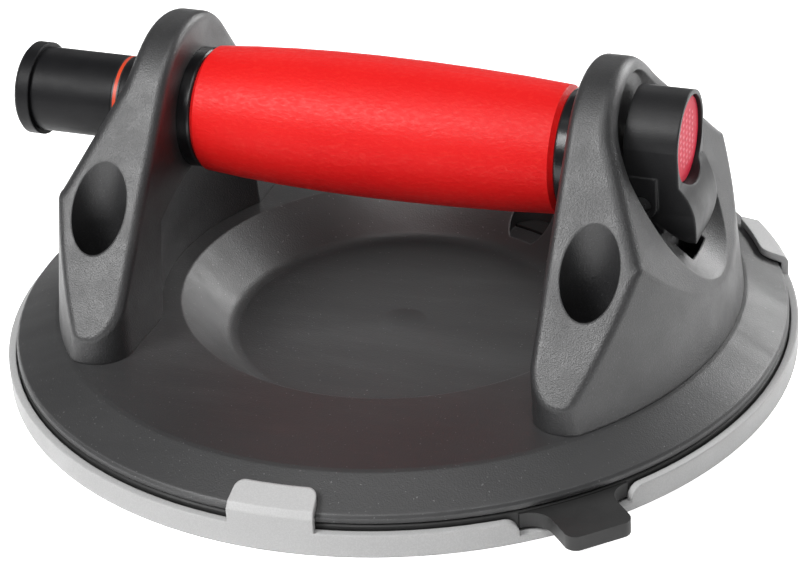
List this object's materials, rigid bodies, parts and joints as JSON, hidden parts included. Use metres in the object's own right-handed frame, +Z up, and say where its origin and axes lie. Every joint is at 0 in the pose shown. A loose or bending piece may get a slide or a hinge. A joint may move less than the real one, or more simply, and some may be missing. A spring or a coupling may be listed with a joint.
{
  "type": "floor tile suction lifter",
  "caption": "Round hand suction lifter for tiles: rubber pad under a disc, a red pump grip between two brackets, a plunger and a rocking release lever, on its clip-on cover.",
  "frame": {"origin": "centre of the disc, on the surface that the protective cover stands on", "axes": "+Z up away from the tile; +X along the handle, from the pump plunger to the release lever; -Y is the side with the pull tab"},
  "size_m": [0.215, 0.215, 0.0885],
  "materials": {
    "cover_plastic": "satin moulded",
    "charcoal_plastic": "fine grained moulded",
    "pad_rubber": "smooth matt",
    "steel": "zinc plated",
    "dark_steel": "blackened",
    "filter_foam": "open foam",
    "pump_aluminium": "drawn tube",
    "grip_rubber": "soft satin",
    "collar_plastic": "gloss",
    "pump_plastic": "natural moulded",
    "seal_rubber": "smooth",
    "black_plastic": "satin moulded",
    "mark_orange": "satin",
    "lever_red": "dotted"
  },
  "bodies": {
    "cover": {"protective_cover": "cover_plastic"},
    "lifter": {"base_plate": "charcoal_plastic", "suction_pad": "pad_rubber", "pad_clamp_ring": "steel", "ring_screws": "steel", "dust_filter": "filter_foam", "left_bracket": "charcoal_plastic", "right_bracket": "charcoal_plastic", "bracket_screws": "dark_steel", "bracket_washers": "dark_steel", "bracket_nuts": "steel", "pump_barrel": "pump_aluminium", "grip_sleeve": "grip_rubber", "left_collar": "collar_plastic", "right_collar": "collar_plastic", "plunger_bush": "pump_plastic", "check_valve_plug": "pump_plastic", "check_valve_flap": "seal_rubber", "plug_oring": "seal_rubber", "barrel_oring": "seal_rubber", "pump_spring": "steel", "poppet_spring": "steel", "lever_pin": "steel"},
    "plunger": {"plunger_tube": "black_plastic", "plunger_cap": "black_plastic", "indicator_ring": "mark_orange", "piston": "pump_plastic", "piston_seal": "seal_rubber"},
    "lever": {"release_lever": "black_plastic", "lever_pad": "lever_red"},
    "poppet": {"valve_poppet": "pump_plastic", "valve_seal": "seal_rubber"}
  },
  "joints": [
    {"name": "cover_pull", "type": "slide", "parent": "cover", "child": "lifter", "axis": [0, 0, 1], "range_m": [0, 0.06], "deforming": ["protective_cover"]},
    {"name": "pump_stroke", "type": "slide", "parent": "lifter", "child": "plunger", "axis": [1, 0, 0], "range_m": [0, 0.024], "stiffness_N_per_m": 1500, "springref_m": -0.02, "deforming": ["pump_spring"]},
    {"name": "lever_press", "type": "hinge", "parent": "lifter", "child": "lever", "pos_m": [0.072, 0, 0.0554], "axis": [0, -1, 0], "range_deg": [0, 6], "stiffness_Nm_per_rad": 0.8, "springref_deg": -8.59},
    {"name": "poppet_lift", "type": "slide", "parent": "lifter", "child": "poppet", "axis": [-1, 0, 0], "range_m": [0, 0.0016], "deforming": ["poppet_spring"]}
  ],
  "couplings": [
    {"joint": "poppet_lift", "follows": "lever_press", "m_per_rad": 0.0144}
  ]
}
